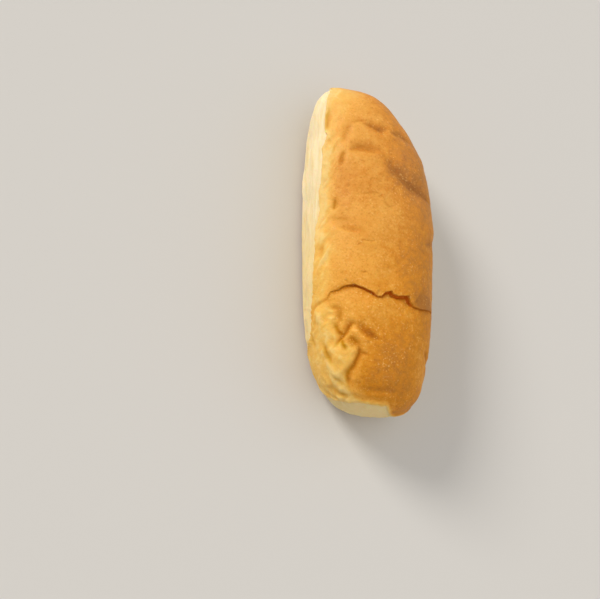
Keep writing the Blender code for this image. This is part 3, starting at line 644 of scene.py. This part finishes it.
def band_relief(points, crust):
    """Slanting folds in the pale band of crust next to the flank."""
    fade = smooth_step(0, BAND_FROM, crust) * smooth_step(BAND_WIDTH, BAND_TO * BAND_WIDTH, crust)
    y = points[:, 1]
    across = crust * math.cos(BAND_SLANT) - y * math.sin(BAND_SLANT)
    along = crust * math.sin(BAND_SLANT) + y * math.cos(BAND_SLANT)
    folds = 0
    for spacing, stretch, height in BAND_FOLDS:
        stretched = np.stack([across, along / stretch, points[:, 2] / stretch], axis=1)
        folds += height * ridged_noise(stretched, spacing)
    return fade * folds


def crumple_relief(crumple, points):
    middle = skin_points([(crumple.turn, crumple.y)])
    fade = np.exp(-((np.linalg.norm(points - middle, axis=1) / crumple.reach) ** 2))
    ridges = ridged_noise(points, crumple.spacing)
    groove_spacing, groove_height = CRUMPLE_GROOVES
    grooves = groove_height * ridged_noise(points + crumple.reach, groove_spacing * crumple.spacing)
    return crumple.height * fade * (ridges - grooves)


def flank_creases():
    """Creases where the skin was pulled off the next roll, on one flank and the other in turn."""
    draw = random.Random(FLANK_SEED)
    creases = []
    for index, y in enumerate(np.linspace(-FLANK_CREASE_REACH, FLANK_CREASE_REACH, FLANK_CREASES)):
        side = -1 if index % 2 else 1
        turn = side * draw.uniform(*FLANK_CREASE_TURN)
        lean = side * draw.uniform(-FLANK_CREASE_LEAN, FLANK_CREASE_LEAN)
        length = draw.uniform(*FLANK_CREASE_LENGTH)
        path = (turn, y), (turn + lean / 2, y + length / 2), (turn + lean, y + length)
        depth = draw.uniform(*FLANK_CREASE_DEPTH)
        width = draw.uniform(*FLANK_CREASE_WIDTH)
        creases.append(Crease(depth, width, FLANK_CREASE_TINT, FLANK_CREASE_STEP, path))
    return creases


def fill_base(mesh):
    shell = bmesh.new()
    shell.from_mesh(mesh)
    rim = [edge for edge in shell.edges if edge.is_boundary]
    base = bmesh.ops.holes_fill(shell, edges=rim)["faces"]
    centre = bmesh.ops.poke(shell, faces=base)["verts"][0]
    centre.co = (0, 0, 0)
    shell.to_mesh(mesh)
    shell.free()


def add_layer(mesh, name, values):
    padded = np.zeros(len(mesh.vertices), np.float32)
    padded[: len(values)] = values
    layer = mesh.attributes.new(name, "FLOAT", "POINT")
    layer.data.foreach_set("value", padded)


def fold_relief(points, normals, crust):
    """How far folds, crumples and creases lift the skin, and how deep their tint is, from 0 to 1."""
    wobble = np.stack([noise_at(points + np.array(shift), WOBBLE_SPACING) for shift in WOBBLE_SHIFTS], axis=1)
    wobble *= WOBBLE
    folds = band_relief(points, crust)
    folds += sum(crumple_relief(crumple, points + CRUMPLE_WOBBLE * wobble) for crumple in CRUMPLES)
    carved = np.zeros(len(points))
    tinted = np.zeros(len(points))
    for crease in [*CREASES, *flank_creases()]:
        close, lift, valley, tint = crease_relief(crease, points, normals, wobble)
        folds[close] += lift
        carved[close] = np.maximum(carved[close], crease.depth * valley)
        tinted[close] = np.maximum(tinted[close], tint)
    return folds - carved, tinted


def make_roll():
    lines = np.linspace(-1, 1, ACROSS_FACES + 1), rows_along(), np.linspace(-1, 1, UPRIGHT_FACES + 1)
    block, faces = block_shell(*lines)
    bent = follow_split(block)
    unit = bent / block_reach(bent)[:, None]
    smooth = place(unit)
    normals = normals_of(smooth, faces)

    crust, baked_and_shaded = crust_reach(unit, smooth)
    folds, tint = fold_relief(smooth, normals, crust)
    distance, gape = split_distance(smooth, normals)
    lip_tint, gap = split_colour(distance, gape)

    height = sum(size * noise_at(smooth, spacing) for spacing, size in LUMPS)
    height += flank_relief(smooth, crust) + folds + split_relief(distance, gape)
    height += sum(bulge_relief(bulge, smooth) for bulge in BULGES)
    height *= smooth_step(RELIEF_FROM, RELIEF_FULL, smooth[:, 2])
    points = smooth + normals * height[:, None]
    far = distance >= 0
    points[far, 1] -= (SPLIT_OVERHANG * gape * np.exp(-distance / SPLIT_OVERHANG_REACH))[far]

    mesh = bpy.data.meshes.new("samoon")
    mesh.from_pydata(points.tolist(), [], faces.tolist())
    fill_base(mesh)
    add_layer(mesh, "tint", np.maximum(tint, lip_tint))
    add_layer(mesh, "split_gap", gap)
    add_layer(mesh, "crust_mm", crust / MM)
    # the bake layer also carries patches of painted light and shade
    add_layer(mesh, "bake", baked_and_shaded)
    add_layer(mesh, "folds_mm", folds / MM)
    mesh.shade_smooth()
    roll = bpy.data.objects.new("samoon", mesh)
    bpy.context.scene.collection.objects.link(roll)
    return roll


# ---------------------------------------------------------------- materials


def add_node(tree, kind, inputs=None, **settings):
    """A node with its settings, and its inputs linked to sockets or set to values."""
    node = tree.nodes.new(kind)
    for name, value in settings.items():
        setattr(node, name, value)
    for name, value in (inputs or {}).items():
        if isinstance(value, bpy.types.NodeSocket):
            tree.links.new(value, node.inputs[name])
        else:
            node.inputs[name].default_value = value
    return node


def maths(tree, operation, first, second=0.0, third=0.0):
    values = {0: first, 1: second, 2: third}
    return add_node(tree, "ShaderNodeMath", values, operation=operation).outputs[0]


def ranged(tree, value, low, high, to_low=0.0, to_high=1.0):
    """Fits a value between two limits, softly."""
    values = {"Value": value, "From Min": low, "From Max": high, "To Min": to_low, "To Max": to_high}
    node = add_node(tree, "ShaderNodeMapRange", values, interpolation_type="SMOOTHSTEP")
    return node.outputs["Result"]


def mixed(tree, share, first, second, blend="MIX"):
    pair = first, second
    first, second = (one if isinstance(one, bpy.types.NodeSocket) else (*one, 1) for one in pair)
    values = {0: share, 6: first, 7: second}
    return add_node(tree, "ShaderNodeMix", values, data_type="RGBA", blend_type=blend).outputs[2]


def grain(tree, place, spacing, detail=2.0, roughness=0.5):
    """Noise of a given spacing in metres, from 0 to 1."""
    values = {"Vector": place, "Scale": 1 / spacing, "Detail": detail, "Roughness": roughness}
    return add_node(tree, "ShaderNodeTexNoise", values).outputs["Fac"]


def layer(tree, name):
    return add_node(tree, "ShaderNodeAttribute", attribute_name=name).outputs["Fac"]


def centred(tree, value, amount):
    """Turns a noise from 0 to 1 into one of that amount about zero."""
    return maths(tree, "MULTIPLY_ADD", value, amount, -amount / 2)


def ramped(tree, value, stops):
    """The colour at a value in a list of positions and colours."""
    highest = stops[-1][0]
    share = maths(tree, "DIVIDE", value, highest)
    ramp = add_node(tree, "ShaderNodeValToRGB", {"Fac": share})
    elements = ramp.color_ramp.elements
    while len(elements) < len(stops):
        elements.new(0.5)
    for element, (position, colour) in zip(elements, stops):
        element.position = position / highest
        element.color = (*colour, 1)
    return ramp.outputs["Color"]


CREAM = (0.96, 0.79, 0.50)
CREAM_DULL = (0.88, 0.67, 0.32)
TOAST = (  # how far the crust is baked, and its colour
    (0.00, (0.90, 0.60, 0.19)),
    (0.18, (0.87, 0.50, 0.10)),
    (0.50, (0.84, 0.400, 0.058)),
    (1.00, (0.69, 0.258, 0.010)),
    (1.60, (0.47, 0.175, 0.020)),
)
# crease colour: partly the crust's own, partly painted shade and bounced light in its hollows
AMBER = (0.62, 0.49, 0.00)
GAP_BROWN = (0.64, 0.155, 0.003)
# pale pink of the bloom, partly the crust's own hue and partly painted sheen
BLOOM_AND_SHEEN = (0.72, 0.48, 0.42)
BLISTER = (0.96, 0.60, 0.20)
PORE = (0.86, 0.80, 0.66)
PAN_BROWN = (0.42, 0.17, 0.045)

# Spacing of the noises in the skin
BLOTCHES = 0.022
MOTTLES = 0.0030
STREAKS = 0.0016
STREAK_STRETCH = 10
PORES = 0.0010
CLUSTERS = 0.012

EDGE_STREAKS = 1.6  # how far streaks move the crust's edge, in millimetres
BLOTCH_BAKE = 0.6  # how much blotches change how far the skin is baked
FOLD_BAKE = -0.30  # the same, for each millimetre that the skin rises
BASE_WANDER = 0.004  # how far the edge of the base's brown wanders

# Limits between which a value takes effect, and in some, what it becomes at either of them
SKIN_EDGE = (-0.5, 0.6)  # millimetres inside the crust's edge, like the next four
TINTED_EDGE = (-1, 1, 0.3, 1.0)
FLANK_ROUGHNESS = (0.6, -0.5, 0, 0.2)
MOTTLED_EDGE = (1, -0.5, 0.45, 0.15)
STREAKED_EDGE = (4, -0.5, 0.05, 0.55)
MOTTLED_BAKE = (0.5, 1.1, 0.6, 1.35)
SPOTTED_BAKE = (0.1, 0.6)
YELLOWED_Y = (0.03, -0.02, 0, 0.30)
BLOOM_AND_SHEEN_Y = (-0.045, 0.035, 0, 0.055)
BROWNED_HEIGHT = (0.0045, 0.0008)
DULL_STREAKS = (0.35, 0.8)
GAP_SHOWN = (0.15, 0.9)
BLISTER_PORES = (0.56, 0.74)
DARK_PORES = (0.45, 0.30)
BLISTER_CLUSTERS = (0.35, 0.65, 0.15, 0.55)
PORE_ROUGHNESS = (0.3, 0.7, 0.44, 0.62)
CREASE_ROUGHNESS = 0.3  # how much rougher a crease is
PORE_BUMP = 0.16


def bread_material():
    material = bpy.data.materials.new("golden_crust")
    material.use_nodes = True
    tree = material.node_tree
    shader = tree.nodes["Principled BSDF"]
    spot = add_node(tree, "ShaderNodeTexCoord").outputs["Object"]
    stretched = {"Vector": spot, "Scale": (1, 1 / STREAK_STRETCH, 1)}
    along = add_node(tree, "ShaderNodeMapping", stretched).outputs["Vector"]
    parts = add_node(tree, "ShaderNodeSeparateXYZ", {"Vector": spot}).outputs

    blotches = grain(tree, spot, BLOTCHES, 3)
    mottle = grain(tree, spot, MOTTLES, 4, 0.65)
    streaks = grain(tree, along, STREAKS, 3, 0.6)
    pores = grain(tree, spot, PORES, 2, 0.6)

    # crust, browner in hollows and paler on ridges; its bake also carries patches of painted light and shade
    bake = maths(tree, "ADD", centred(tree, blotches, BLOTCH_BAKE), layer(tree, "bake"))
    mottling = ranged(tree, layer(tree, "bake"), *MOTTLED_BAKE)
    bake = maths(tree, "MULTIPLY_ADD", centred(tree, mottle, 1), mottling, bake)
    bake = maths(tree, "MULTIPLY_ADD", layer(tree, "folds_mm"), FOLD_BAKE, bake)
    crust = ramped(tree, bake, TOAST)

    # flank, duller in streaks and towards the near end
    dull = maths(tree, "ADD", streaks, ranged(tree, parts["Y"], *YELLOWED_Y))
    cream = mixed(tree, ranged(tree, dull, *DULL_STREAKS), CREAM, CREAM_DULL)
    edge = maths(tree, "ADD", layer(tree, "crust_mm"), centred(tree, streaks, EDGE_STREAKS))
    skin = ranged(tree, edge, *SKIN_EDGE)
    colour = mixed(tree, skin, cream, crust)

    # the crust has a faint pale bloom towards the far end, partly its own hue and partly painted sheen
    bloom_and_sheen = maths(tree, "MULTIPLY", skin, ranged(tree, parts["Y"], *BLOOM_AND_SHEEN_Y))
    colour = mixed(tree, bloom_and_sheen, colour, BLOOM_AND_SHEEN)

    # creases are deeper in colour, partly the crust's own and partly painted shade and bounced light
    amber = maths(tree, "MULTIPLY", layer(tree, "tint"), ranged(tree, edge, *TINTED_EDGE))
    colour = mixed(tree, amber, colour, AMBER, "MULTIPLY")
    colour = mixed(tree, ranged(tree, layer(tree, "split_gap"), *GAP_SHOWN), colour, GAP_BROWN)

    # fine blisters and pores in the crust
    baked_and_shaded = ranged(tree, layer(tree, "bake"), *SPOTTED_BAKE)
    clusters = ranged(tree, grain(tree, spot, CLUSTERS, 1), *BLISTER_CLUSTERS)
    blistered = maths(tree, "MULTIPLY", baked_and_shaded, clusters)
    blisters = maths(tree, "MULTIPLY", ranged(tree, pores, *BLISTER_PORES), blistered)
    colour = mixed(tree, blisters, colour, BLISTER)
    pored = maths(tree, "MULTIPLY", ranged(tree, pores, *DARK_PORES), baked_and_shaded)
    colour = mixed(tree, pored, colour, PORE, "MULTIPLY")

    # browned base
    height = maths(tree, "ADD", parts["Z"], centred(tree, mottle, BASE_WANDER))
    colour = mixed(tree, ranged(tree, height, *BROWNED_HEIGHT), colour, PAN_BROWN)
    tree.links.new(colour, shader.inputs["Base Color"])

    roughness = ranged(tree, pores, *PORE_ROUGHNESS)
    roughness = maths(tree, "ADD", roughness, ranged(tree, edge, *FLANK_ROUGHNESS))
    roughness = maths(tree, "MULTIPLY_ADD", amber, CREASE_ROUGHNESS, roughness)
    tree.links.new(roughness, shader.inputs["Roughness"])

    bumps = maths(tree, "MULTIPLY", pores, PORE_BUMP)
    bumps = maths(tree, "MULTIPLY_ADD", mottle, ranged(tree, edge, *MOTTLED_EDGE), bumps)
    bumps = maths(tree, "MULTIPLY_ADD", streaks, ranged(tree, edge, *STREAKED_EDGE), bumps)
    bump = add_node(tree, "ShaderNodeBump", {"Height": bumps, "Distance": MM, "Strength": 0.8})
    tree.links.new(bump.outputs["Normal"], shader.inputs["Normal"])

    shader.inputs["Subsurface Weight"].default_value = 0.2
    shader.inputs["Subsurface Radius"].default_value = (1.0, 0.40, 0.15)
    shader.inputs["Subsurface Scale"].default_value = 0.0025
    shader.inputs["IOR"].default_value = 1.45
    shader.inputs["Specular IOR Level"].default_value = 0.22
    return material


# ---------------------------------------------------------------- studio

FLOOR_REACH = 30
FLOOR = (0.66, 0.64, 0.61)
BACKDROP = (0.61, 0.58, 0.54)  # behind the floor's edge, as bright as the lit floor
SKY = (1, 0.98, 0.95)
SKY_POWER = 0.42
Sun = namedtuple("Sun", "name towards softness power colour")
SUNS = (
    Sun("key", (-0.65, 0.60, 0.47), 20, 2.15, (1, 0.97, 0.92)),
    Sun("top", (0.45, -0.05, 0.85), 90, 0.9, (1, 0.98, 0.95)),
)


def add_floor():
    mesh = bpy.data.meshes.new("floor")
    corners = [(FLOOR_REACH * x, FLOOR_REACH * y, 0) for x, y in ((-1, -1), (1, -1), (1, 1), (-1, 1))]
    mesh.from_pydata(corners, [], [(0, 1, 2, 3)])
    floor = bpy.data.objects.new("floor", mesh)
    bpy.context.scene.collection.objects.link(floor)
    material = bpy.data.materials.new("pale_floor")
    material.use_nodes = True
    shader = material.node_tree.nodes["Principled BSDF"]
    shader.inputs["Base Color"].default_value = (*FLOOR, 1)
    shader.inputs["Roughness"].default_value = 0.9
    mesh.materials.append(material)


def add_sun(sun):
    data = bpy.data.lights.new(sun.name, "SUN")
    data.angle = math.radians(sun.softness)
    data.energy = sun.power
    data.color = sun.colour
    light = bpy.data.objects.new(sun.name, data)
    light.rotation_euler = Vector(sun.towards).to_track_quat("Z", "Y").to_euler()
    bpy.context.scene.collection.objects.link(light)


def add_studio():
    add_floor()
    for sun in SUNS:
        add_sun(sun)
    world = bpy.data.worlds.new("studio")
    world.use_nodes = True
    tree = world.node_tree
    sky = tree.nodes["Background"]
    sky.inputs["Color"].default_value = (*SKY, 1)
    sky.inputs["Strength"].default_value = SKY_POWER
    backdrop = add_node(tree, "ShaderNodeBackground", {"Color": (*BACKDROP, 1)})
    seen = add_node(tree, "ShaderNodeLightPath").outputs["Is Camera Ray"]
    shown = add_node(tree, "ShaderNodeMixShader", {0: seen, 1: sky.outputs[0], 2: backdrop.outputs[0]})
    tree.links.new(shown.outputs[0], tree.nodes["World Output"].inputs["Surface"])
    bpy.context.scene.world = world
    bpy.context.scene.view_settings.view_transform = "Standard"


add_camera()
add_studio()
roll = make_roll()
roll.data.materials.append(bread_material())
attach(roll, "root")
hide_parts("samoon_roll")
